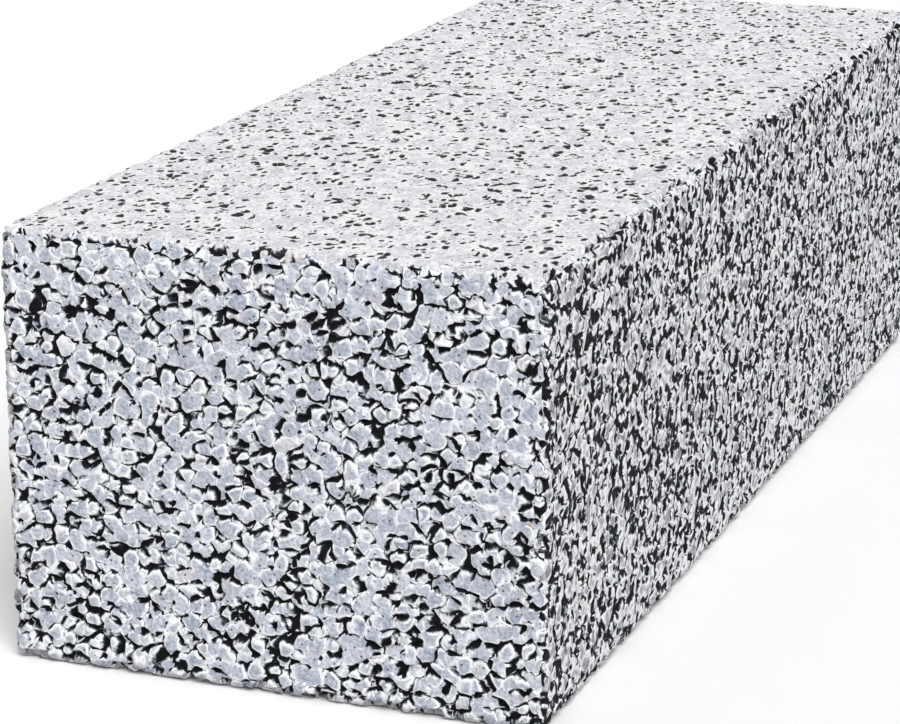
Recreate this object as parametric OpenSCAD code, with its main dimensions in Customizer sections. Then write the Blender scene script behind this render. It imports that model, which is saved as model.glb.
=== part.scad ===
// Solid block of open-textured lightweight-aggregate concrete, lying on its wide face.
// Millimetres. +X runs along the length, +Y across the width and +Z up.
// The origin is at the middle of the underside.

/* [Block] */
// Length of the block, along X
block_length = 490; // [240:1:600]
// Width of the block as it lies, along Y
block_width = 190; // [90:1:300]
// Height of the block as it lies, along Z
block_height = 150; // [60:1:250]

/* [Arrises] */
// Rounding of the four upright arrises, where the mould's corners were
upright_arris_radius = 4; // [1:0.5:20]
// Rounding of the four arrises that run along the length
long_arris_radius = 5; // [1:0.5:20]
// Rounding of the four arrises that run across the ends
end_arris_radius = 6; // [1:0.5:20]

/* [Finish] */
// Colour of the bare concrete, as red, green and blue shares
concrete_colour_shares = [0.80, 0.81, 0.84]; // [0:0.01:1]

/* [Hidden] */
// Round faces are true arcs: this only sets how finely they are drawn
$fn = 64;

// Rectangle with round corners, centred on the origin: two crossing bars and four corner discs
module rounded_rectangle(size_u, size_v, radius) {
    square([size_u, size_v - 2 * radius], center = true);
    square([size_u - 2 * radius, size_v], center = true);
    for (side_u = [-1, 1], side_v = [-1, 1])
        translate([side_u * (size_u / 2 - radius), side_v * (size_v / 2 - radius)])
            circle(r = radius);
}

// Prism through the whole block, seen from above, with the upright arrises rounded
module plan_prism() {
    linear_extrude(height = block_height, center = true)
        rounded_rectangle(block_length, block_width, upright_arris_radius);
}

// Prism through the whole block, seen from an end, with the long arrises rounded
module end_prism() {
    rotate([90, 0, 90])
        linear_extrude(height = block_length, center = true)
            rounded_rectangle(block_width, block_height, long_arris_radius);
}

// Prism through the whole block, seen from a long side, with the end arrises rounded
module side_prism() {
    rotate([90, 0, 0])
        linear_extrude(height = block_width, center = true)
            rounded_rectangle(block_length, block_height, end_arris_radius);
}

// The cast block: what its three outlines have in common, standing on the origin's plane
module block() {
    color(concrete_colour_shares)
        translate([0, 0, block_height / 2])
            intersection() {
                plan_prism();
                end_prism();
                side_prism();
            }
}

block();
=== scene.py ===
"""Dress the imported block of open-textured lightweight concrete and set it in a plain studio.

The block is one cast piece: round pellets of light aggregate, each coated with cement paste and
pressed together in a steel mould. The pellets that met the mould have flat faces, some are bonded
to their neighbours by paste, and deep gaps stay open between the others. All of that relief is one
closed mesh, moved inwards from the CAD block's own box.

Blender works in metres. Sizes here are in millimetres unless a name or comment says otherwise.
"""

import logging
import math
from dataclasses import dataclass, field, fields
from enum import Enum
from typing import Any

import bmesh
import bpy
from bpy.types import ID, Material, Mesh, Node, NodeSocket, NodeTree, Object
from mathutils import Matrix, Vector


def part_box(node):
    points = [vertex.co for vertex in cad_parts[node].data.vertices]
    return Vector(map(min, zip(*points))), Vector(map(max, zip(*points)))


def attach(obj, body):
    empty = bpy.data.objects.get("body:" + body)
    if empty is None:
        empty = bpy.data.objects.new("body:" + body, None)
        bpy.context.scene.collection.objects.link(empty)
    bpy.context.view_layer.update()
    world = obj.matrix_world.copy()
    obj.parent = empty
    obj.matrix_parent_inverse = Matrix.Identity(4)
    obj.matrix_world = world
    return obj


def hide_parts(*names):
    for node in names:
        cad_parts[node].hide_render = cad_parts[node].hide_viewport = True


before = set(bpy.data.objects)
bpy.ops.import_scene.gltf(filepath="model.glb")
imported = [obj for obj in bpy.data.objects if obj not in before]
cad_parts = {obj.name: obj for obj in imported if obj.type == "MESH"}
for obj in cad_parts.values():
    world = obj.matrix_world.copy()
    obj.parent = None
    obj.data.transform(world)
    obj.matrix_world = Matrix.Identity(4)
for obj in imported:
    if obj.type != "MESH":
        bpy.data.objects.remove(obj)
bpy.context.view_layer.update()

MM = 0.001
WHITE = "#ffffff"

# Distance that stands for nothing near by
NOWHERE = 9.0
# Mean of Blender's noise
NOISE_MEAN = 0.5
# Mean rise of a random direction, up or down
MEAN_RISE = 0.5

log = logging.getLogger("concrete_block")


def linear(hex_colour: str) -> tuple[float, float, float, float]:
    """Turns an sRGB hex colour into the linear colour that a shader takes.

    Args:
        hex_colour: Colour as "#rrggbb".

    Returns:
        Linear red, green, blue and an alpha of 1.
    """
    shares = [int(hex_colour[at : at + 2], 16) / 255 for at in (1, 3, 5)]
    # The numbers are those of the sRGB standard
    light = [s / 12.92 if s <= 0.04045 else ((s + 0.055) / 1.055) ** 2.4 for s in shares]
    return (*light, 1.0)


def add_node(tree: NodeTree, kind: str, sockets: dict[str | int, Any], **settings: Any) -> Node:
    """Adds a node, sets its options and fills or links its input sockets.

    Args:
        tree: Node tree that takes the node.
        kind: Blender's name of the node type.
        sockets: Input name or number to a value, or to the output socket that feeds it.
        **settings: Options of the node, by attribute name.

    Returns:
        The new node.
    """
    node = tree.nodes.new(kind)
    for name, value in settings.items():
        setattr(node, name, value)
    for name, value in sockets.items():
        if isinstance(value, NodeSocket):
            tree.links.new(value, node.inputs[name])
        else:
            node.inputs[name].default_value = value
    return node


def new_material(name: str) -> Material:
    """Makes a material with an empty node tree.

    Args:
        name: Name of the material.

    Returns:
        The new material.
    """
    material = bpy.data.materials.new(name)
    material.use_nodes = True
    material.node_tree.nodes.clear()
    return material


def link_object(name: str, data: ID) -> Object:
    """Puts a mesh, lamp or camera into the scene.

    Args:
        name: Name of the object.
        data: What the object shows.

    Returns:
        The new object, at the origin.
    """
    thing = bpy.data.objects.new(name, data)
    bpy.context.scene.collection.objects.link(thing)
    return thing


def seen_directly(tree: NodeTree) -> NodeSocket:
    """Adds nodes that tell what the camera, mirrors and glass see from what only lights things.

    Args:
        tree: Node tree of a floor or a world.

    Returns:
        A socket that is 1 for the camera, mirrors and glass, and 0 for other rays.
    """
    path = add_node(tree, "ShaderNodeLightPath", {}).outputs
    mirrored = add_node(
        tree,
        "ShaderNodeMath",
        {0: path["Is Glossy Ray"], 1: path["Is Transmission Ray"]},
        operation="MAXIMUM",
    )
    return add_node(
        tree,
        "ShaderNodeMath",
        {0: path["Is Camera Ray"], 1: mirrored.outputs[0]},
        operation="MAXIMUM",
    ).outputs[0]


class Casting(Enum):
    """The faces of the block by what they were cast against, with the axis and side they face."""

    NEAR_END = (0, -1)
    FAR_END = (0, 1)
    FRONT_SIDE = (1, -1)
    BACK_SIDE = (1, 1)
    PALLET = (2, -1)
    PRESS_HEAD = (2, 1)


@dataclass(frozen=True)
class Openness:
    """How open the texture of a face is.

    Attributes:
        open_share: Share of neighbouring pellets with a gap between them.
        gap_scale: Width of those gaps, against the relief's own.
        coat: Thickness of the paste that swells a pellet.
        shoulder: Run from a pellet's flat face to its edge.
        under_bias: How much likelier a gap is under a pellet than beside it, negative if less likely.
        depth: Depth of the gaps.
    """

    open_share: float
    gap_scale: float
    coat: float
    shoulder: float
    under_bias: float
    depth: float


END_PLATE = Openness(
    open_share=0.37, gap_scale=1.25, coat=0.0, shoulder=1.1, under_bias=1.7, depth=2.4
)
SIDE_PLATE = Openness(
    open_share=0.48, gap_scale=1.6, coat=0.0, shoulder=1.1, under_bias=-1.0, depth=0.9
)
PRESSED = Openness(
    open_share=0.12, gap_scale=0.55, coat=2.0, shoulder=0.30, under_bias=0.0, depth=1.1
)


@dataclass(frozen=True)
class Balls:
    """Balls of random radius at random places: small pellets, or the hollows of pores and pits.

    Attributes:
        spacing: Distance between the places that may hold one.
        radii: Smallest and largest radius.
        share: Share of the places that hold one.
    """

    spacing: float
    radii: tuple[float, float]
    share: float

    def add(self, tree: NodeTree, place: NodeSocket) -> tuple[NodeSocket, NodeSocket]:
        """Adds the balls' nodes to a tree.

        Args:
            tree: Node tree.
            place: Points of the skin.

        Returns:
            Sockets of the distance inside the nearest ball's surface and of the direction from its
            middle.
        """
        cells = add_node(
            tree, "ShaderNodeTexVoronoi", {"Vector": place, "Scale": 1 / self.spacing}
        ).outputs
        marks = add_node(tree, "ShaderNodeSeparateXYZ", {0: cells["Color"]})
        held = add_node(
            tree, "ShaderNodeMath", {0: marks.outputs["X"], 1: self.share}, operation="LESS_THAN"
        )
        radius = add_node(
            tree, "ShaderNodeMapRange", {0: marks.outputs["Y"], 3: self.radii[0], 4: self.radii[1]}
        )
        inside = add_node(
            tree,
            "ShaderNodeMath",
            {0: cells["Distance"], 1: -self.spacing, 2: radius.outputs[0]},
            operation="MULTIPLY_ADD",
        )
        distance = add_node(
            tree, "ShaderNodeMix", {0: held.outputs[0], 2: -NOWHERE, 3: inside.outputs[0]}
        )
        from_middle = add_node(
            tree, "ShaderNodeVectorMath", {0: place, 1: cells["Position"]}, operation="SUBTRACT"
        )
        away = add_node(
            tree, "ShaderNodeVectorMath", {0: from_middle.outputs[0]}, operation="NORMALIZE"
        )
        return distance.outputs[0], away.outputs[0]


@dataclass(frozen=True)
class ReliefSockets:
    """What the relief's nodes give at a point, with lengths in millimetres.

    Attributes:
        skin: The point of the mould's skin over it, about the block's middle.
        outward: Outward direction of the skin.
        facing: Outward direction of the cast surface, tilted on the pellets' shoulders.
        depth: How far the cast surface lies under the skin.
        edge: Distance inside the edge of the point's own pellet, negative in a gap.
        tone: Random colour of that pellet, each channel 0 to 1.
        side: 1 on the long sides, 0 on the ends.
        pressed: 1 on the pressed wide faces, 0 on the ends and sides.
    """

    skin: NodeSocket
    outward: NodeSocket
    facing: NodeSocket
    depth: NodeSocket
    edge: NodeSocket
    tone: NodeSocket
    side: NodeSocket
    pressed: NodeSocket


@dataclass(frozen=True)
class CastRelief:
    """Pellets, bonds, gaps and pores of the cast surface, worked out by nodes.

    The same nodes cut the relief into the mesh and tell the material where faces and gaps are.

    Attributes:
        half: Half of the block's length, width and height.
        middle: The block's middle.
        arris: Rounding of every arris.
        arris_left: Least of that rounding that the deepest gap leaves.
        arris_loss: How far the pellets on an arris have crumbled away at their edges.
        side_turn: Where a long side's texture starts and is whole, as the skin turns to face its way.
        wide_turn: The same for the wide faces.
        border: Where a pressed face's closed texture starts and is whole, from the arris inwards.
        border_wander: How far that border wanders.
        pellet: Spacing of the pellets.
        radii: Smallest and largest radius of a pellet.
        lump_size: Size of the lumps that make the pellets uneven.
        lump_height: How far those lumps push a pellet's edge.
        ragged: How far the lumps' noise moves every edge in or out.
        gap_halves: Narrowest and widest half gap between two pellets.
        bond_halves: Half overlap of two pellets that are bonded, as a negative half gap, where they
            only touch and where they are quite merged.
        rounding: How far a pellet's corners are rounded where three meet.
        fillet: How far the paste rounds the corner between two that touch.
        filler: The middling pellets between the large ones.
        crumb: The small pellets in the gaps.
        outlines: Gap round a pellet to the smaller ones behind it, above and under it.
        pore: The air pores in a pressed face.
        pore_squeeze: How much narrower than round a pore is along each axis.
        pit: The pits that fallen pellets left in the long sides.
        pit_squeeze: How much narrower than round a pit is along each axis.
        wall: Run of a gap's wall from a pellet's edge to its bottom.
        tilt: Slope of a pellet's shoulder at its steepest.
        flush_share: Share of the pellets whose faces met the mould.
        recess: Most that another pellet's face lies back from the mould.
        arris_recess: How much further a pellet on an arris may be worn back.
    """

    half: Vector
    middle: Vector
    arris: float = 4.5
    arris_left: float = 0.1
    arris_loss: float = 0.3
    side_turn: tuple[float, float] = (0.60, 0.80)
    wide_turn: tuple[float, float] = (0.60, 0.90)
    border: tuple[float, float] = (7.0, 10.0)
    border_wander: float = 12.0
    pellet: float = 4.9
    radii: tuple[float, float] = (2.75, 4.6)
    lump_size: float = 3.8
    lump_height: float = 2.0
    ragged: float = 3.0
    gap_halves: tuple[float, float] = (0.38, 0.82)
    bond_halves: tuple[float, float] = (-0.9, -2.4)
    rounding: float = 0.8
    fillet: float = 0.9
    filler: Balls = Balls(spacing=4.1, radii=(1.6, 2.6), share=0.3)
    crumb: Balls = Balls(spacing=2.8, radii=(0.6, 1.5), share=0.25)
    outlines: tuple[float, float] = (-1.1, 0.8)
    pore: Balls = Balls(spacing=3.5, radii=(0.5, 1.6), share=0.52)
    pore_squeeze: tuple[float, float, float] = (0.72, 1.08, 1.0)
    pit: Balls = Balls(spacing=5.0, radii=(0.9, 2.0), share=0.6)
    pit_squeeze: tuple[float, float, float] = (0.80, 1.0, 1.10)
    wall: float = 1.0
    tilt: float = 0.9
    flush_share: float = 0.4
    recess: float = 0.6
    arris_recess: float = 3.6

    def add(self, tree: NodeTree, place: NodeSocket) -> ReliefSockets:
        """Adds the relief's nodes to a tree.

        Args:
            tree: Node tree of the mesh's modifier or of the material.
            place: Points on or under the skin, in metres, in the block's own frame.

        Returns:
            The sockets that give the relief.
        """
        skin, outward = self._skin(tree, place)
        lumps = add_node(
            tree,
            "ShaderNodeTexNoise",
            {"Vector": skin, "Scale": 1 / self.lump_size, "Detail": 0.0},
        )
        lumpy = add_node(
            tree,
            "ShaderNodeVectorMath",
            {0: lumps.outputs["Color"], 1: (self.lump_height,) * 3, 2: skin},
            operation="MULTIPLY_ADD",
        ).outputs[0]
        normal = add_node(tree, "ShaderNodeSeparateXYZ", {0: outward})
        on_side, on_pressed = self._faces(tree, skin, normal, lumps.outputs["Fac"])
        on_arris = self._arris(tree, normal)
        openness = self._openness(tree, on_side, on_pressed)
        edge, tone, shaded, away = self._pellets(tree, lumpy, outward, openness, on_side)
        edge, away = self._small_pellets(tree, lumpy, openness["coat"], shaded, edge, away)
        uneven = add_node(
            tree, "ShaderNodeMath", {0: lumps.outputs["Fac"], 1: NOISE_MEAN}, operation="SUBTRACT"
        )
        for where, push in ((uneven.outputs[0], self.ragged), (on_arris, -self.arris_loss)):
            edge = add_node(
                tree, "ShaderNodeMath", {0: where, 1: push, 2: edge}, operation="MULTIPLY_ADD"
            ).outputs[0]
        for hollows, squeeze, where in (
            (self.pore, self.pore_squeeze, on_pressed),
            (self.pit, self.pit_squeeze, on_side),
        ):
            squeezed = add_node(
                tree, "ShaderNodeVectorMath", {0: lumpy, 1: squeeze}, operation="MULTIPLY"
            ).outputs[0]
            edge, away = self._hollow(tree, hollows.add(tree, squeezed), where, edge, away)
        facing = self._facing(tree, outward, away, edge, openness["shoulder"])
        depth = self._depth(tree, on_arris, edge, tone, openness)
        return ReliefSockets(skin, outward, facing, depth, edge, tone, on_side, on_pressed)

    def _skin(self, tree: NodeTree, place: NodeSocket) -> tuple[NodeSocket, NodeSocket]:
        """Adds nodes that find the skin of the mould over a point.

        Args:
            tree: Node tree.
            place: Points in metres.

        Returns:
            Sockets of the skin's point, in millimetres about the block's middle, and of its outward
            direction.
        """
        inner = self.half - Vector((self.arris,) * 3)
        millimetres = add_node(
            tree,
            "ShaderNodeVectorMath",
            {0: place, 1: (1 / MM,) * 3, 2: -self.middle},
            operation="MULTIPLY_ADD",
        ).outputs[0]
        capped = add_node(
            tree, "ShaderNodeVectorMath", {0: millimetres, 1: inner}, operation="MINIMUM"
        ).outputs[0]
        core = add_node(
            tree, "ShaderNodeVectorMath", {0: capped, 1: -inner}, operation="MAXIMUM"
        ).outputs[0]
        away = add_node(
            tree, "ShaderNodeVectorMath", {0: millimetres, 1: core}, operation="SUBTRACT"
        ).outputs[0]
        outward = add_node(
            tree, "ShaderNodeVectorMath", {0: away}, operation="NORMALIZE"
        ).outputs[0]
        skin = add_node(
            tree,
            "ShaderNodeVectorMath",
            {0: outward, 1: (self.arris,) * 3, 2: core},
            operation="MULTIPLY_ADD",
        ).outputs[0]
        return skin, outward

    def _faces(
        self, tree: NodeTree, skin: NodeSocket, normal: Node, lumps: NodeSocket
    ) -> tuple[NodeSocket, NodeSocket]:
        """Adds nodes that tell the long sides and the pressed faces from the ends.

        Args:
            tree: Node tree.
            skin: Points of the skin.
            normal: Separate XYZ node of the outward direction.
            lumps: Noise that makes the border of the pressed faces ragged.

        Returns:
            Sockets that are 1 on the long sides, and on the pressed faces inside their border.
        """
        turned = []
        for axis, turn in (("Y", self.side_turn), ("Z", self.wide_turn)):
            share = add_node(
                tree, "ShaderNodeMath", {0: normal.outputs[axis]}, operation="ABSOLUTE"
            )
            whole = add_node(
                tree,
                "ShaderNodeMapRange",
                {0: share.outputs[0], 1: turn[0], 2: turn[1]},
                interpolation_type="SMOOTHSTEP",
            )
            turned.append(whole.outputs[0])
        on_side, on_wide = turned
        from_middle = add_node(tree, "ShaderNodeVectorMath", {0: skin}, operation="ABSOLUTE")
        inwards = add_node(
            tree,
            "ShaderNodeVectorMath",
            {0: self.half, 1: from_middle.outputs[0]},
            operation="SUBTRACT",
        )
        ways = add_node(tree, "ShaderNodeSeparateXYZ", {0: inwards.outputs[0]})
        nearest = add_node(
            tree,
            "ShaderNodeMath",
            {0: ways.outputs["X"], 1: ways.outputs["Y"]},
            operation="MINIMUM",
        )
        wandering = add_node(
            tree,
            "ShaderNodeMath",
            {0: lumps, 1: self.border_wander, 2: nearest.outputs[0]},
            operation="MULTIPLY_ADD",
        )
        inside = add_node(
            tree,
            "ShaderNodeMapRange",
            {0: wandering.outputs[0], 1: self.border[0], 2: self.border[1]},
            interpolation_type="SMOOTHSTEP",
        )
        on_pressed = add_node(
            tree, "ShaderNodeMath", {0: on_wide, 1: inside.outputs[0]}, operation="MULTIPLY"
        )
        return on_side, on_pressed.outputs[0]

    @staticmethod
    def _arris(tree: NodeTree, normal: Node) -> NodeSocket:
        """Adds nodes that find the arrises.

        Args:
            tree: Node tree.
            normal: Separate XYZ node of the outward direction.

        Returns:
            Socket that is 1 in the middle of an arris and 0 on the faces.
        """
        squares = [
            add_node(
                tree, "ShaderNodeMath", {0: normal.outputs[axis], 1: 2.0}, operation="POWER"
            ).outputs[0]
            for axis in ("X", "Y", "Z")
        ]
        ends_sides = add_node(
            tree, "ShaderNodeMath", {0: squares[0], 1: squares[1]}, operation="MAXIMUM"
        )
        flattest = add_node(
            tree, "ShaderNodeMath", {0: ends_sides.outputs[0], 1: squares[2]}, operation="MAXIMUM"
        )
        # The largest square is 1 on a face and a half where two faces meet
        return add_node(
            tree, "ShaderNodeMapRange", {0: flattest.outputs[0], 1: 1.0, 2: 0.5}
        ).outputs[0]

    @staticmethod
    def _openness(
        tree: NodeTree, on_side: NodeSocket, on_pressed: NodeSocket
    ) -> dict[str, NodeSocket]:
        """Adds nodes that blend the openness of the ends, the long sides and the pressed faces.

        Args:
            tree: Node tree.
            on_side: 1 on the long sides, 0 on the ends.
            on_pressed: 1 on the pressed faces, 0 on the others.

        Returns:
            Name of each value of Openness to its socket.
        """
        blended = {}
        for value in fields(Openness):
            end, side, pressed = (
                getattr(face, value.name) for face in (END_PLATE, SIDE_PLATE, PRESSED)
            )
            plates = add_node(tree, "ShaderNodeMix", {0: on_side, 2: end, 3: side})
            blended[value.name] = add_node(
                tree, "ShaderNodeMix", {0: on_pressed, 2: plates.outputs[0], 3: pressed}
            ).outputs[0]
        return blended

    @staticmethod
    def _level(tree: NodeTree, way: NodeSocket, outward: NodeSocket) -> NodeSocket:
        """Adds nodes that take the part of a vector that lies along the skin.

        Args:
            tree: Node tree.
            way: The vector.
            outward: Outward direction of the skin.

        Returns:
            Socket of that part.
        """
        raised = add_node(
            tree, "ShaderNodeVectorMath", {0: way, 1: outward}, operation="DOT_PRODUCT"
        )
        upright = add_node(
            tree,
            "ShaderNodeVectorMath",
            {0: outward, "Scale": raised.outputs["Value"]},
            operation="SCALE",
        )
        return add_node(
            tree, "ShaderNodeVectorMath", {0: way, 1: upright.outputs[0]}, operation="SUBTRACT"
        ).outputs[0]

    def _pellets(
        self,
        tree: NodeTree,
        lumpy: NodeSocket,
        outward: NodeSocket,
        openness: dict[str, NodeSocket],
        on_side: NodeSocket,
    ) -> tuple[NodeSocket, NodeSocket, NodeSocket, NodeSocket]:
        """Adds the large pellets, and the bonds and gaps between neighbours.

        Args:
            tree: Node tree.
            lumpy: Points of the skin, shifted so that pellets come out uneven.
            outward: Outward direction of the skin.
            openness: Sockets of the face's openness.
            on_side: 1 on the long sides, 0 on the ends.

        Returns:
            Sockets of the distance inside a pellet's edge, of its random colour, of how far the point
            lies on the pellet's shaded side, and of the direction from the pellet's middle.
        """
        own, other = (
            add_node(
                tree,
                "ShaderNodeTexVoronoi",
                {"Vector": lumpy, "Scale": 1 / self.pellet},
                feature=feature,
            ).outputs
            for feature in ("F1", "F2")
        )
        between = add_node(
            tree,
            "ShaderNodeVectorMath",
            {0: other["Position"], 1: own["Position"]},
            operation="SUBTRACT",
        ).outputs[0]
        direction = add_node(
            tree, "ShaderNodeVectorMath", {0: between}, operation="NORMALIZE"
        ).outputs[0]
        summed = add_node(
            tree,
            "ShaderNodeVectorMath",
            {0: own["Color"], 1: other["Color"]},
            operation="ADD",
        ).outputs[0]
        half_gap = self._half_gap(tree, summed, direction, outward, openness)
        to_centre = add_node(
            tree, "ShaderNodeVectorMath", {0: own["Position"], 1: lumpy}, operation="SUBTRACT"
        ).outputs[0]
        short = add_node(
            tree, "ShaderNodeVectorMath", {0: to_centre, 1: direction}, operation="DOT_PRODUCT"
        )
        span = add_node(tree, "ShaderNodeVectorMath", {0: between}, operation="LENGTH")
        # Half of the span is where the two pellets would meet
        halfway = add_node(
            tree,
            "ShaderNodeMath",
            {0: span.outputs["Value"], 1: 0.5, 2: short.outputs["Value"]},
            operation="MULTIPLY_ADD",
        )
        to_neighbour = add_node(
            tree, "ShaderNodeMath", {0: halfway.outputs[0], 1: half_gap}, operation="SUBTRACT"
        )
        marks = add_node(tree, "ShaderNodeSeparateXYZ", {0: own["Color"]})
        radius = add_node(
            tree, "ShaderNodeMapRange", {0: marks.outputs["Y"], 3: self.radii[0], 4: self.radii[1]}
        )
        swollen = add_node(
            tree, "ShaderNodeMath", {0: radius.outputs[0], 1: openness["coat"]}, operation="ADD"
        )
        reach = add_node(
            tree,
            "ShaderNodeVectorMath",
            {0: self._level(tree, to_centre, outward)},
            operation="LENGTH",
        )
        to_void = add_node(
            tree,
            "ShaderNodeMath",
            {0: swollen.outputs[0], 1: reach.outputs["Value"]},
            operation="SUBTRACT",
        )
        edge = add_node(
            tree,
            "ShaderNodeMath",
            {0: to_neighbour.outputs[0], 1: to_void.outputs[0], 2: self.rounding},
            operation="SMOOTH_MIN",
        )
        inward = add_node(
            tree, "ShaderNodeVectorMath", {0: to_centre}, operation="NORMALIZE"
        ).outputs[0]
        ways = add_node(tree, "ShaderNodeSeparateXYZ", {0: inward})
        far = add_node(
            tree, "ShaderNodeMath", {0: ways.outputs["X"], 1: -1.0}, operation="MULTIPLY"
        )
        shaded = add_node(
            tree, "ShaderNodeMix", {0: on_side, 2: ways.outputs["Z"], 3: far.outputs[0]}
        )
        away = add_node(
            tree, "ShaderNodeVectorMath", {0: inward, 1: (-1.0,) * 3}, operation="MULTIPLY"
        )
        return edge.outputs[0], own["Color"], shaded.outputs[0], away.outputs[0]

    def _half_gap(
        self,
        tree: NodeTree,
        summed: NodeSocket,
        direction: NodeSocket,
        outward: NodeSocket,
        openness: dict[str, NodeSocket],
    ) -> NodeSocket:
        """Adds nodes that bond two neighbouring pellets or leave a gap between them.

        Args:
            tree: Node tree.
            summed: Sum of the two pellets' random colours, which is the pair's own.
            direction: Direction from one pellet to the other.
            outward: Outward direction of the skin.
            openness: Sockets of the face's openness.

        Returns:
            Socket of half the gap's width, negative for a bond.
        """
        chances = add_node(tree, "ShaderNodeVectorMath", {0: summed}, operation="FRACTION")
        pair = add_node(tree, "ShaderNodeSeparateXYZ", {0: chances.outputs[0]})
        rise = add_node(tree, "ShaderNodeSeparateXYZ", {0: direction})
        stacked = add_node(tree, "ShaderNodeMath", {0: rise.outputs["Z"]}, operation="ABSOLUTE")
        steeper = add_node(
            tree, "ShaderNodeMath", {0: stacked.outputs[0], 1: MEAN_RISE}, operation="SUBTRACT"
        )
        bias = add_node(
            tree,
            "ShaderNodeMath",
            {0: steeper.outputs[0], 1: openness["under_bias"], 2: 1.0},
            operation="MULTIPLY_ADD",
        )
        chance = add_node(
            tree,
            "ShaderNodeMath",
            {0: openness["open_share"], 1: bias.outputs[0]},
            operation="MULTIPLY",
        )
        is_open = add_node(
            tree,
            "ShaderNodeMath",
            {0: pair.outputs["X"], 1: chance.outputs[0]},
            operation="LESS_THAN",
        )
        width = add_node(
            tree,
            "ShaderNodeMapRange",
            {0: pair.outputs["Y"], 3: self.gap_halves[0], 4: self.gap_halves[1]},
        )
        open_half = add_node(
            tree,
            "ShaderNodeMath",
            {0: width.outputs[0], 1: openness["gap_scale"]},
            operation="MULTIPLY",
        )
        # A gap that the skin cuts at a slant would show too wide, so it is narrowed by the slant
        slant = add_node(
            tree,
            "ShaderNodeVectorMath",
            {0: self._level(tree, direction, outward)},
            operation="LENGTH",
        )
        even_half = add_node(
            tree,
            "ShaderNodeMath",
            {0: open_half.outputs[0], 1: slant.outputs["Value"]},
            operation="MULTIPLY",
        )
        bond = add_node(
            tree,
            "ShaderNodeMapRange",
            {0: pair.outputs["Z"], 3: self.bond_halves[0], 4: self.bond_halves[1]},
        )
        return add_node(
            tree,
            "ShaderNodeMix",
            {0: is_open.outputs[0], 2: bond.outputs[0], 3: even_half.outputs[0]},
        ).outputs[0]

    def _small_pellets(
        self,
        tree: NodeTree,
        lumpy: NodeSocket,
        coat: NodeSocket,
        shaded: NodeSocket,
        edge: NodeSocket,
        away: NodeSocket,
    ) -> tuple[NodeSocket, NodeSocket]:
        """Adds the smaller pellets that show between the large ones.

        Args:
            tree: Node tree.
            lumpy: Points of the skin, shifted so that pellets come out uneven.
            coat: Thickness of the paste that swells a pellet.
            shaded: How far the point lies on a large pellet's shaded side.
            edge: Distance inside the large pellet's edge.
            away: Direction from the large pellet's middle.

        Returns:
            Sockets of the distance inside any pellet's edge and of the direction from its middle.
        """
        outline = add_node(
            tree,
            "ShaderNodeMapRange",
            {0: shaded, 1: -1.0, 2: 1.0, 3: self.outlines[0], 4: self.outlines[1]},
        )
        for balls in (self.filler, self.crumb):
            small, small_away = balls.add(tree, lumpy)
            swollen = add_node(tree, "ShaderNodeMath", {0: small, 1: coat}, operation="ADD")
            outside = add_node(tree, "ShaderNodeMath", {0: edge, 1: -1.0}, operation="MULTIPLY")
            clear = add_node(
                tree,
                "ShaderNodeMath",
                {0: outside.outputs[0], 1: outline.outputs[0]},
                operation="SUBTRACT",
            )
            behind = add_node(
                tree,
                "ShaderNodeMath",
                {0: swollen.outputs[0], 1: clear.outputs[0]},
                operation="MINIMUM",
            )
            ahead = add_node(
                tree, "ShaderNodeMath", {0: behind.outputs[0], 1: edge}, operation="GREATER_THAN"
            )
            away = add_node(
                tree,
                "ShaderNodeMix",
                {0: ahead.outputs[0], 4: away, 5: small_away},
                data_type="VECTOR",
            ).outputs[1]
            edge = add_node(
                tree,
                "ShaderNodeMath",
                {0: edge, 1: behind.outputs[0], 2: self.fillet},
                operation="SMOOTH_MAX",
            ).outputs[0]
        return edge, away

    def _hollow(
        self,
        tree: NodeTree,
        balls: tuple[NodeSocket, NodeSocket],
        where: NodeSocket,
        edge: NodeSocket,
        away: NodeSocket,
    ) -> tuple[NodeSocket, NodeSocket]:
        """Takes round hollows out of the pellets on some of the faces.

        Args:
            tree: Node tree.
            balls: Sockets of the distance inside a hollow and of the direction from its middle.
            where: 1 on the faces that have the hollows, 0 on the others.
            edge: Distance inside a pellet's edge.
            away: Direction from the pellet's middle.

        Returns:
            Sockets of the distance inside what is left and of the direction that its edge faces.
        """
        inside, from_middle = balls
        outside = add_node(tree, "ShaderNodeMath", {0: inside, 1: -1.0}, operation="MULTIPLY")
        distance = add_node(
            tree, "ShaderNodeMix", {0: where, 2: NOWHERE, 3: outside.outputs[0]}
        ).outputs[0]
        towards = add_node(
            tree, "ShaderNodeVectorMath", {0: from_middle, 1: (-1.0,) * 3}, operation="MULTIPLY"
        )
        nearer = add_node(tree, "ShaderNodeMath", {0: distance, 1: edge}, operation="LESS_THAN")
        away = add_node(
            tree,
            "ShaderNodeMix",
            {0: nearer.outputs[0], 4: away, 5: towards.outputs[0]},
            data_type="VECTOR",
        ).outputs[1]
        edge = add_node(
            tree,
            "ShaderNodeMath",
            {0: edge, 1: distance, 2: self.fillet},
            operation="SMOOTH_MIN",
        ).outputs[0]
        return edge, away

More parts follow.
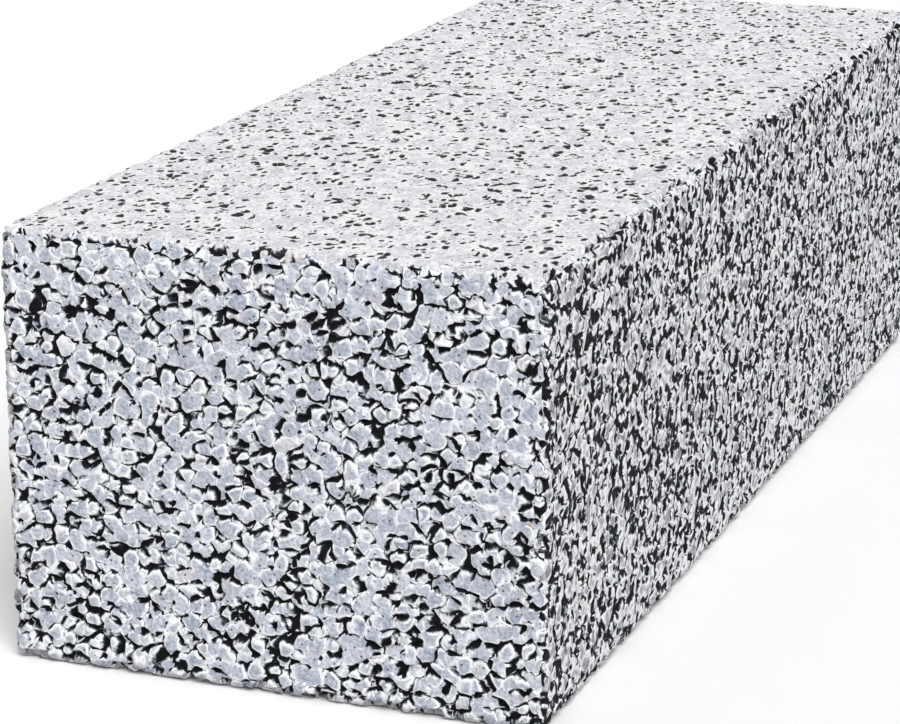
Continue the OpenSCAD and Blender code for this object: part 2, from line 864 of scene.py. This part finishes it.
    def _facing(
        self,
        tree: NodeTree,
        outward: NodeSocket,
        away: NodeSocket,
        edge: NodeSocket,
        shoulder: NodeSocket,
    ) -> NodeSocket:
        """Adds nodes that tilt the surface on the rounded shoulders of the pellets.

        Args:
            tree: Node tree.
            outward: Outward direction of the skin.
            away: Direction from the pellet's middle.
            edge: Distance inside the pellet's edge.
            shoulder: Run from the flat face to the edge.

        Returns:
            Socket of the cast surface's own direction.
        """
        tilt = add_node(
            tree,
            "ShaderNodeMapRange",
            {0: edge, 1: shoulder, 2: 0.0, 4: self.tilt},
            interpolation_type="SMOOTHSTEP",
        )
        leaning = add_node(
            tree,
            "ShaderNodeVectorMath",
            {0: self._level(tree, away, outward), 1: tilt.outputs[0], 2: outward},
            operation="MULTIPLY_ADD",
        )
        return add_node(
            tree, "ShaderNodeVectorMath", {0: leaning.outputs[0]}, operation="NORMALIZE"
        ).outputs[0]

    def _depth(
        self,
        tree: NodeTree,
        on_arris: NodeSocket,
        edge: NodeSocket,
        tone: NodeSocket,
        openness: dict[str, NodeSocket],
    ) -> NodeSocket:
        """Adds nodes that turn edges, set-back pellets and worn arrises into one depth.

        Args:
            tree: Node tree.
            on_arris: 1 along the arrises, 0 on the faces.
            edge: Distance inside a pellet's edge.
            tone: Random colour of the pellet.
            openness: Sockets of the face's openness.

        Returns:
            Socket of the depth under the skin.
        """
        gap = add_node(
            tree,
            "ShaderNodeMapRange",
            {0: edge, 1: openness["shoulder"], 2: -self.wall, 4: openness["depth"]},
            interpolation_type="SMOOTHSTEP",
        )
        marks = add_node(tree, "ShaderNodeSeparateXYZ", {0: tone})
        furthest = add_node(
            tree,
            "ShaderNodeMath",
            {0: on_arris, 1: self.arris_recess, 2: self.recess},
            operation="MULTIPLY_ADD",
        )
        back = add_node(
            tree,
            "ShaderNodeMapRange",
            {0: marks.outputs["Z"], 1: self.flush_share, 4: furthest.outputs[0]},
            interpolation_type="SMOOTHSTEP",
        )
        total = add_node(
            tree, "ShaderNodeMath", {0: gap.outputs[0], 1: back.outputs[0]}, operation="ADD"
        )
        return add_node(
            tree,
            "ShaderNodeMath",
            {0: total.outputs[0], 1: self.arris - self.arris_left},
            operation="MINIMUM",
        ).outputs[0]


@dataclass(frozen=True)
class Spots:
    """Round spots of one colour at random places in the paste.

    Attributes:
        colour: Their colour.
        spacing: Distance between the places that may have one.
        radius: Radius of a spot.
        share: Share of the places that have one.
        core: Share of the radius inside which a spot has its whole colour.
    """

    colour: str
    spacing: float
    radius: float
    share: float
    core: float = 0.6

    def add(self, tree: NodeTree, place: NodeSocket) -> NodeSocket:
        """Adds the spots' nodes to a tree.

        Args:
            tree: The material's node tree.
            place: Points of the skin, in millimetres.

        Returns:
            A socket that is 1 in a spot and 0 outside it.
        """
        cells = add_node(
            tree, "ShaderNodeTexVoronoi", {"Vector": place, "Scale": 1 / self.spacing}
        ).outputs
        chosen = add_node(
            tree, "ShaderNodeMath", {0: cells["Color"], 1: self.share}, operation="LESS_THAN"
        )
        rim = self.radius / self.spacing
        inside = add_node(
            tree, "ShaderNodeMapRange", {0: cells["Distance"], 1: rim, 2: self.core * rim}
        )
        return add_node(
            tree,
            "ShaderNodeMath",
            {0: chosen.outputs[0], 1: inside.outputs[0]},
            operation="MULTIPLY",
        ).outputs[0]


@dataclass(frozen=True)
class PelletConcrete:
    """Lightweight-aggregate concrete, cast in a steel mould and left bare.

    Dry cement paste gives a matt, pale blue-grey skin. A pellet's flat face took the mould's smooth
    tone. Its rounded shoulder gets a painted highlight, and the walls and bottoms of the deep gaps are
    painted shade, down to almost black. The long sides are painted darker than the ends, as painted
    shade, and the pressed faces paler, as painted light.

    Attributes:
        end_tones: Dullest and palest colour of the pellets' faces on the ends.
        side_tones: The same on the long sides, painted darker, as painted shade.
        pressed_tones: The same on the pressed faces, painted paler, as painted light.
        stain: Colour of the faint mauve stains.
        shoulder: Colour of the painted highlight on the pellets' shoulders.
        gap_wall_shade: Painted shade on a gap's wall on the ends and long sides.
        pore_wall_shade: Painted shade on a pore's wall in a pressed face.
        gap: Colour of the nearly black painted shade at a gap's bottom.
        spots: Specks of ochre sand and of rust, and dark grey spots of painted shade that stand for
            pinholes.
        roughness: Roughness of the dry paste.
        ior: Its index of refraction.
        specular: Its mirror light, half of the usual because the paste is full of pores.
        highlight_run: Distance inside a pellet's edge where its painted highlight starts and is whole.
        side_highlight_run: The same on the long sides.
        wall_shade_run: The same for the painted shade on a gap's wall, negative in the gap.
        bottom_shade_run: The same for the painted shade at the gap's bottom.
        side_gap_shift: How much further in the painted highlight and painted shade start on the long
            sides.
        pressed_highlight: Share of the painted highlight on a pressed face.
        pressed_shade: Share of the bottom's painted shade there.
        stain_size: Size of the stains.
        stain_detail: Finer layers in their noise.
        stain_range: Noise where a stain starts and is whole.
        stain_share: Share of its colour that a whole stain has.
        grain_size: Size of the paste's grain, drawn coarser than the real one so that it shows.
        grain_detail: Finer layers in its noise.
        grain_height: Height of the grain.
        knobs: How far the grain moves the borders of the colours.
        blotch_range: Grain of a face's dullest and palest blotches.
        blotch_share: Share of the blotches in a face's tone, beside the pellet's own.
    """

    end_tones: tuple[str, str] = ("#9099ab", "#d9dfe9")
    # The long sides' tones are painted darker and the pressed faces' paler: painted shade and painted
    # light
    side_tones: tuple[str, str] = ("#72767d", "#b4b7bd")
    pressed_tones: tuple[str, str] = ("#b1b0b7", "#f8f7f9")
    stain: str = "#dacfd4"
    # Painted highlight on the pellets' shoulders
    shoulder: str = "#fafbfd"
    # Painted shade on the walls of gaps and pores, and nearly black painted shade at a gap's bottom
    gap_wall_shade: str = "#434a58"
    pore_wall_shade: str = "#3d373c"
    gap: str = "#0d0e12"
    spots: tuple[Spots, ...] = (
        Spots(colour="#c9a878", spacing=5.0, radius=0.75, share=0.10),
        Spots(colour="#8d4f3f", spacing=4.0, radius=0.525, share=0.2),
        # Dark grey spots that stand for pinholes: painted shade, with no hollow in the relief
        Spots(colour="#4a4b50", spacing=2.4, radius=0.48, share=0.75),
    )
    roughness: float = 0.93
    ior: float = 1.5
    specular: float = 0.25
    # Where the shoulders' painted highlight starts and is whole
    highlight_run: tuple[float, float] = (1.8, 0.65)
    side_highlight_run: tuple[float, float] = (2.4, 0.6)
    # Where the gaps' painted shade starts and is whole
    wall_shade_run: tuple[float, float] = (0.55, -0.06)
    bottom_shade_run: tuple[float, float] = (0.12, -0.28)
    side_gap_shift: float = 0.15
    # Shares of the painted highlight and of the painted shade on the pressed faces
    pressed_highlight: float = 0.6
    pressed_shade: float = 0.4
    stain_size: float = 5.0
    stain_detail: float = 2.0
    stain_range: tuple[float, float] = (0.42, 0.68)
    stain_share: float = 0.42
    grain_size: float = 1.1
    grain_detail: float = 3.0
    grain_height: float = 0.5
    knobs: float = 0.45
    blotch_range: tuple[float, float] = (0.36, 0.64)
    blotch_share: float = 0.6

    def material(self, relief: CastRelief) -> Material:
        """Makes the concrete's material.

        Args:
            relief: The relief that the block was cast with.

        Returns:
            The material, which reads Object coordinates.
        """
        material = new_material("cast_pellet_concrete")
        tree = material.node_tree
        place = add_node(tree, "ShaderNodeTexCoord", {}).outputs["Object"]
        cast = relief.add(tree, place)
        grain = add_node(
            tree,
            "ShaderNodeTexNoise",
            {"Vector": cast.skin, "Scale": 1 / self.grain_size, "Detail": self.grain_detail},
        ).outputs["Fac"]
        facing = add_node(
            tree,
            "ShaderNodeVectorTransform",
            {0: cast.facing},
            vector_type="NORMAL",
            convert_from="OBJECT",
            convert_to="WORLD",
        )
        bump = add_node(
            tree,
            "ShaderNodeBump",
            {
                "Strength": 1.0,
                "Distance": self.grain_height * MM,
                "Height": grain,
                "Normal": facing.outputs[0],
            },
        )
        shader = add_node(
            tree,
            "ShaderNodeBsdfPrincipled",
            {
                "Base Color": self._colour(tree, cast, grain),
                "Roughness": self.roughness,
                "IOR": self.ior,
                "Specular IOR Level": self.specular,
                "Normal": bump.outputs["Normal"],
            },
        )
        add_node(tree, "ShaderNodeOutputMaterial", {"Surface": shader.outputs["BSDF"]})
        return material

    def _colour(self, tree: NodeTree, cast: ReliefSockets, grain: NodeSocket) -> NodeSocket:
        """Adds the nodes that colour faces, stains and spots, and paint highlights and shade.

        Args:
            tree: The material's node tree.
            cast: The relief's sockets.
            grain: Fine noise of the paste.

        Returns:
            The colour's output socket.
        """
        marks = add_node(tree, "ShaderNodeSeparateXYZ", {0: cast.tone})
        blotches = add_node(
            tree,
            "ShaderNodeMapRange",
            {0: grain, 1: self.blotch_range[0], 2: self.blotch_range[1]},
        )
        mottled = add_node(
            tree,
            "ShaderNodeMix",
            {0: self.blotch_share, 2: marks.outputs["X"], 3: blotches.outputs[0]},
        )
        # A copy of the tones for each kind of face, the long sides' darker as painted shade and the
        # pressed faces' paler as painted light
        end, side, pressed = (
            add_node(
                tree,
                "ShaderNodeMix",
                {0: mottled.outputs[0], 6: linear(dull), 7: linear(pale)},
                data_type="RGBA",
            ).outputs[2]
            for dull, pale in (self.end_tones, self.side_tones, self.pressed_tones)
        )
        stains = add_node(
            tree,
            "ShaderNodeTexNoise",
            {"Vector": cast.skin, "Scale": 1 / self.stain_size, "Detail": self.stain_detail},
        )
        stained = add_node(
            tree,
            "ShaderNodeMapRange",
            {
                0: stains.outputs["Fac"],
                1: self.stain_range[0],
                2: self.stain_range[1],
                4: self.stain_share,
            },
        )
        layers = [
            (cast.side, side),
            (cast.pressed, pressed),
            (stained.outputs[0], linear(self.stain)),
            *((spots.add(tree, cast.skin), linear(spots.colour)) for spots in self.spots),
            *self._edges(tree, cast, grain),
        ]
        colour = end
        for share, fill in layers:
            colour = add_node(
                tree, "ShaderNodeMix", {0: share, 6: colour, 7: fill}, data_type="RGBA"
            ).outputs[2]
        return colour

    def _edges(
        self, tree: NodeTree, cast: ReliefSockets, grain: NodeSocket
    ) -> list[tuple[NodeSocket, Any]]:
        """Adds the nodes that paint a highlight on the pellets' shoulders and shade on the gaps' walls
        and bottoms.

        Args:
            tree: The material's node tree.
            cast: The relief's sockets.
            grain: Fine noise of the paste.

        Returns:
            Share and colour of each, as a socket and a colour or a colour's socket.
        """
        knobbly = add_node(
            tree,
            "ShaderNodeMapRange",
            {0: grain, 3: -self.knobs, 4: self.knobs},
            clamp=False,
        )
        # On the long sides the painted highlight and painted shade start further in
        shifted = add_node(
            tree,
            "ShaderNodeMath",
            {0: cast.side, 1: -self.side_gap_shift, 2: cast.edge},
            operation="MULTIPLY_ADD",
        )
        seen = add_node(
            tree,
            "ShaderNodeMath",
            {0: shifted.outputs[0], 1: knobbly.outputs[0]},
            operation="ADD",
        )
        # Shares of the painted highlight and painted shade, smaller on the pressed faces
        highlight_share, shade_share = (
            add_node(tree, "ShaderNodeMapRange", {0: cast.pressed, 3: 1.0, 4: least}).outputs[0]
            for least in (self.pressed_highlight, self.pressed_shade)
        )
        # Painted shade for the walls of gaps, and of pores on the pressed faces
        wall = add_node(
            tree,
            "ShaderNodeMix",
            {0: cast.pressed, 6: linear(self.gap_wall_shade), 7: linear(self.pore_wall_shade)},
            data_type="RGBA",
        ).outputs[2]
        # Where the shoulders' painted highlight starts, on the ends and on the long sides
        highlight_run = [
            add_node(tree, "ShaderNodeMix", {0: cast.side, 2: end, 3: side}).outputs[0]
            for end, side in zip(self.highlight_run, self.side_highlight_run)
        ]
        layers = []
        # The painted highlight on the shoulders, then the painted shade on the walls and at the
        # bottoms
        for (start, whole), most, fill in (
            (highlight_run, highlight_share, linear(self.shoulder)),
            (self.wall_shade_run, 1.0, wall),
            (self.bottom_shade_run, shade_share, linear(self.gap)),
        ):
            reached = add_node(
                tree,
                "ShaderNodeMapRange",
                {0: seen.outputs[0], 1: start, 2: whole, 4: most},
                interpolation_type="SMOOTHSTEP",
            )
            layers.append((reached.outputs[0], fill))
        return layers


@dataclass
class ConcreteBlock:
    """The cast block: one closed mesh with its pellets, bonds and gaps.

    Attributes:
        finish: The concrete's finish.
        pitch: Spacing of the mesh that the relief is cut into, before it is thinned.
        merge: Distance within which the grids' edges become one, in shares of the pitch.
        triangles: Triangles that are kept.
        relief: The cast relief, on the size of the CAD node.
    """

    finish: PelletConcrete = field(default_factory=PelletConcrete)
    pitch: float = 0.95
    merge: float = 0.1
    triangles: int = 197_000
    relief: CastRelief = field(init=False)

    NAME = "concrete_block"
    NODE = "block"

    def __post_init__(self) -> None:
        """Takes the block's size from the CAD node."""
        low, high = (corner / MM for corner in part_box(self.NODE))
        self.relief = CastRelief(half=(high - low) / 2, middle=(low + high) / 2)

    def build(self) -> Object:
        """Makes the block, dresses it and ties it to the frame.

        Returns:
            The block's object.
        """
        block = link_object(self.NAME, self._grid())
        cut = block.modifiers.new("cast_relief", "NODES")
        cut.node_group = self._relief_nodes()
        thin = block.modifiers.new("thin", "DECIMATE")
        # Each square of the grid counts as two triangles
        thin.ratio = self.triangles / (2 * len(block.data.polygons))
        self._apply(block)
        block.data.shade_smooth()
        block.data.materials.append(self.finish.material(self.relief))
        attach(block, "root")
        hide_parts(self.NODE)
        return block

    def _grid(self) -> Mesh:
        """Covers the CAD block's box with a fine even grid, closed at the arrises.

        Returns:
            The mesh, in place.
        """
        size = self.relief.half * 2 * MM
        pitch = self.pitch * MM
        bm = bmesh.new()
        for face in Casting:
            axis, side = face.value
            across, along = (axis + 1) % 3, (axis + 2) % 3
            # Turns and stretches a unit grid so that it lies on the face and looks outwards
            place = Matrix.Diagonal((0.0, 0.0, 0.0, 1.0))
            place[across][0] = size[across]
            place[along][1] = size[along] * side
            place[axis][2] = side
            place[axis][3] = side * size[axis] / 2
            bmesh.ops.create_grid(
                bm,
                x_segments=round(size[across] / pitch),
                y_segments=round(size[along] / pitch),
                size=0.5,
                matrix=Matrix.Translation(self.relief.middle * MM) @ place,
            )
        bmesh.ops.remove_doubles(bm, verts=bm.verts[:], dist=pitch * self.merge)
        mesh = bpy.data.meshes.new(self.NAME)
        bm.to_mesh(mesh)
        bm.free()
        return mesh

    def _relief_nodes(self) -> NodeTree:
        """Makes the Geometry Nodes that move the box's points on to the cast surface.

        Returns:
            The node group.
        """
        tree = bpy.data.node_groups.new("cast_relief", "GeometryNodeTree")
        for way in ("INPUT", "OUTPUT"):
            tree.interface.new_socket("Geometry", in_out=way, socket_type="NodeSocketGeometry")
        box = add_node(tree, "NodeGroupInput", {}).outputs[0]
        place = add_node(tree, "GeometryNodeInputPosition", {}).outputs[0]
        cast = self.relief.add(tree, place)
        inward = add_node(
            tree, "ShaderNodeMath", {0: cast.depth, 1: -1.0}, operation="MULTIPLY"
        )
        moved = add_node(
            tree,
            "ShaderNodeVectorMath",
            {0: cast.outward, 1: inward.outputs[0], 2: cast.skin},
            operation="MULTIPLY_ADD",
        )
        metres = add_node(
            tree,
            "ShaderNodeVectorMath",
            {0: moved.outputs[0], 1: (MM,) * 3, 2: self.relief.middle * MM},
            operation="MULTIPLY_ADD",
        )
        cut = add_node(
            tree, "GeometryNodeSetPosition", {"Geometry": box, "Position": metres.outputs[0]}
        )
        add_node(tree, "NodeGroupOutput", {0: cut.outputs[0]})
        return tree

    def _apply(self, block: Object) -> None:
        """Applies the modifiers and keeps every vertex inside the CAD block's box.

        Thinning may push a vertex a little past the box.

        Args:
            block: The block, whose mesh is replaced.
        """
        evaluated = block.evaluated_get(bpy.context.evaluated_depsgraph_get())
        cast = bpy.data.meshes.new_from_object(evaluated)
        box = block.data
        block.modifiers.clear()
        block.data = cast
        bpy.data.meshes.remove(box)
        cast.name = self.NAME
        low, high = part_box(self.NODE)
        for vertex in cast.vertices:
            vertex.co = [min(max(at, a), b) for at, a, b in zip(vertex.co, low, high)]


@dataclass(frozen=True)
class PaleFloor:
    """Plain studio floor of smooth matt paint.

    The camera and mirrors see it white with the block's shadow. The light that it throws back on the
    block is that of a pale grey floor.

    Attributes:
        reach: Half of the floor's side, in metres.
        drop: How far it lies under the block, in metres.
        seen: Colour for the camera and mirrors.
        thrown: Colour that lights the block.
    """

    reach: float = 8.0
    drop: float = 0.0002
    seen: str = "#f6f6f6"
    thrown: str = "#d0d0d0"

    def build(self) -> Object:
        """Makes the floor.

        Returns:
            The floor's object.
        """
        bm = bmesh.new()
        bmesh.ops.create_grid(bm, x_segments=1, y_segments=1, size=self.reach)
        bmesh.ops.translate(bm, vec=(0, 0, -self.drop), verts=bm.verts[:])
        mesh = bpy.data.meshes.new("floor")
        bm.to_mesh(mesh)
        bm.free()
        mesh.materials.append(self._material())
        floor = link_object("floor", mesh)
        return floor

    def _material(self) -> Material:
        """Makes the floor's matt paint.

        Returns:
            The material.
        """
        material = new_material("matt_floor_paint")
        tree = material.node_tree
        colour = add_node(
            tree,
            "ShaderNodeMix",
            {0: seen_directly(tree), 6: linear(self.thrown), 7: linear(self.seen)},
            data_type="RGBA",
        )
        shader = add_node(
            tree,
            "ShaderNodeBsdfPrincipled",
            {"Base Color": colour.outputs[2], "Roughness": 1.0, "Specular IOR Level": 0.0},
        )
        add_node(tree, "ShaderNodeOutputMaterial", {"Surface": shader.outputs["BSDF"]})
        return material


@dataclass(frozen=True)
class SoftLamp:
    """A broad overhead lamp, so far off that it lights the whole floor evenly.

    Attributes:
        name: Name of the lamp.
        direction: Direction towards the lamp.
        strength: Light that falls on a surface facing it, in watts a square metre.
        breadth: Angle that the lamp fills, in degrees.
        stand_off: Where the lamp is drawn, in metres from the origin. Its light doesn't depend on it.
    """

    name: str
    direction: tuple[float, float, float]
    strength: float
    breadth: float
    stand_off: float = 3.0

    def build(self) -> Object:
        """Makes the lamp.

        Returns:
            The lamp's object.
        """
        lamp = bpy.data.lights.new(self.name, "SUN")
        lamp.energy = self.strength
        lamp.angle = math.radians(self.breadth)
        thing = link_object(self.name, lamp)
        thing.location = Vector(self.direction).normalized() * self.stand_off
        thing.rotation_mode = "QUATERNION"
        thing.rotation_quaternion = Vector(self.direction).to_track_quat("Z", "Y")
        return thing


@dataclass(frozen=True)
class Studio:
    """Light, floor and camera of the photograph.

    Attributes:
        lamps: The lamps.
        sky: Strength of the even light from all round.
        floor: The floor.
        azimuth: Camera's turn round the block, in degrees: 0 looks along +Y.
        elevation: Camera's height over the horizon, in degrees.
        distance: Distance from the block's middle, in metres.
        frame_shift: How far the block's middle lies right of and over the picture's middle, in metres.
        lens: Focal length in millimetres.
        sensor: Width of the camera's sensor in millimetres.
        clip: Nearest and furthest that the camera sees, in metres.
    """

    lamps: tuple[SoftLamp, ...] = (
        SoftLamp(name="key", direction=(-0.55, -0.40, 0.735), strength=2.95, breadth=40.0),
        SoftLamp(name="fill", direction=(0.60, 0.60, 0.53), strength=0.35, breadth=60.0),
    )
    sky: float = 0.36
    floor: PaleFloor = field(default_factory=PaleFloor)
    azimuth: float = -69.0
    elevation: float = 16.47
    distance: float = 1.2508
    frame_shift: tuple[float, float] = (0.0289, 0.0276)
    lens: float = 128.85
    sensor: float = 36.0
    clip: tuple[float, float] = (0.05, 60.0)

    def build(self) -> None:
        """Makes the floor, the lamps, the sky and the camera."""
        self.floor.build()
        for lamp in self.lamps:
            lamp.build()
        self._sky()
        self._camera()
        bpy.context.scene.view_settings.view_transform = "Standard"

    def _sky(self) -> None:
        """Makes the even light from all round, which the camera sees as white."""
        world = bpy.data.worlds.new("studio_sky")
        world.use_nodes = True
        tree = world.node_tree
        tree.nodes.clear()
        strength = add_node(tree, "ShaderNodeMix", {0: seen_directly(tree), 2: self.sky, 3: 1.0})
        sky = add_node(
            tree,
            "ShaderNodeBackground",
            {"Color": linear(WHITE), "Strength": strength.outputs[0]},
        )
        add_node(tree, "ShaderNodeOutputWorld", {"Surface": sky.outputs["Background"]})
        bpy.context.scene.world = world

    def _camera(self) -> None:
        """Puts the camera where the photograph was taken from."""
        low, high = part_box(ConcreteBlock.NODE)
        turn, rise = math.radians(self.azimuth), math.radians(self.elevation)
        level = Vector((math.sin(turn), -math.cos(turn), 0.0))
        back = level * math.cos(rise) + Vector((0.0, 0.0, math.sin(rise)))
        aim = back.to_track_quat("Z", "Y")
        shift = aim @ Vector((*self.frame_shift, 0.0))
        lens = bpy.data.cameras.new("photo_camera")
        lens.sensor_width = self.sensor
        lens.lens = self.lens
        lens.clip_start, lens.clip_end = self.clip
        camera = link_object("photo_camera", lens)
        camera.location = (low + high) / 2 + back * self.distance - shift
        camera.rotation_mode = "QUATERNION"
        camera.rotation_quaternion = aim
        bpy.context.scene.camera = camera


def main() -> None:
    """Builds the block and the studio, and reports each piece."""
    logging.basicConfig(level=logging.INFO, format="%(name)s: %(message)s")
    block = ConcreteBlock().build()
    log.info("%s: %d triangles", block.name, len(block.data.polygons))
    Studio().build()
    log.info("studio: floor, lamps, sky and camera")


if __name__ == "__main__":
    main()
